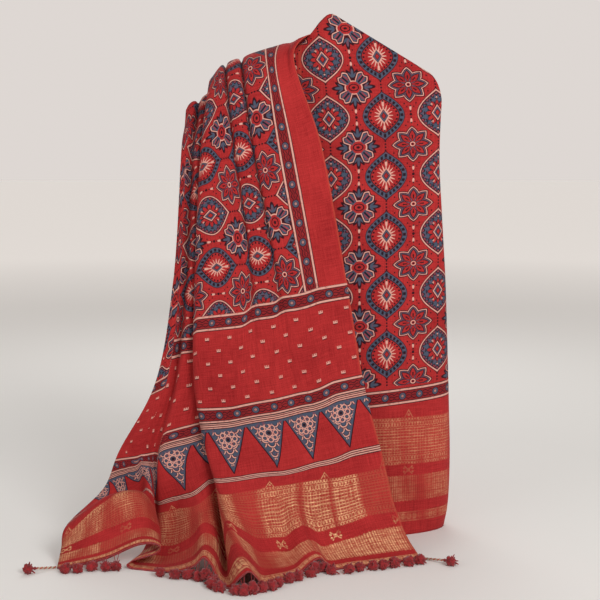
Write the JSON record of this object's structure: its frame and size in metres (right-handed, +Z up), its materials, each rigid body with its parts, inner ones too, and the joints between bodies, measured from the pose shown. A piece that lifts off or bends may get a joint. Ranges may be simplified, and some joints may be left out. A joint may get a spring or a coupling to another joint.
{
  "type": "draped printed cloth",
  "caption": "Length of ajrakh block-printed cloth draped over a slanting ridge, with zari bands, a pleated end and a pompom fringe.",
  "frame": {"origin": "middle of the footprint's bounding box, on the surface the cloth rests on", "axes": "+Z up, -Y towards the viewer of the printed front, +X to the viewer's right"},
  "size_m": [0.727, 0.4764, 0.9204],
  "materials": {
    "printed_cloth": "plain woven, block-printed in red, blue and cream, with woven metal-thread bands",
    "pompom_wool": "cut wool yarn, matt",
    "tassel_cord": "twisted cord of red and metal thread with a wool pompom"
  },
  "bodies": {
    "root": {"cloth": "printed_cloth", "pompom_fringe": "pompom_wool", "corner_tassel_left": "tassel_cord", "corner_tassel_right": "tassel_cord"}
  },
  "joints": []
}
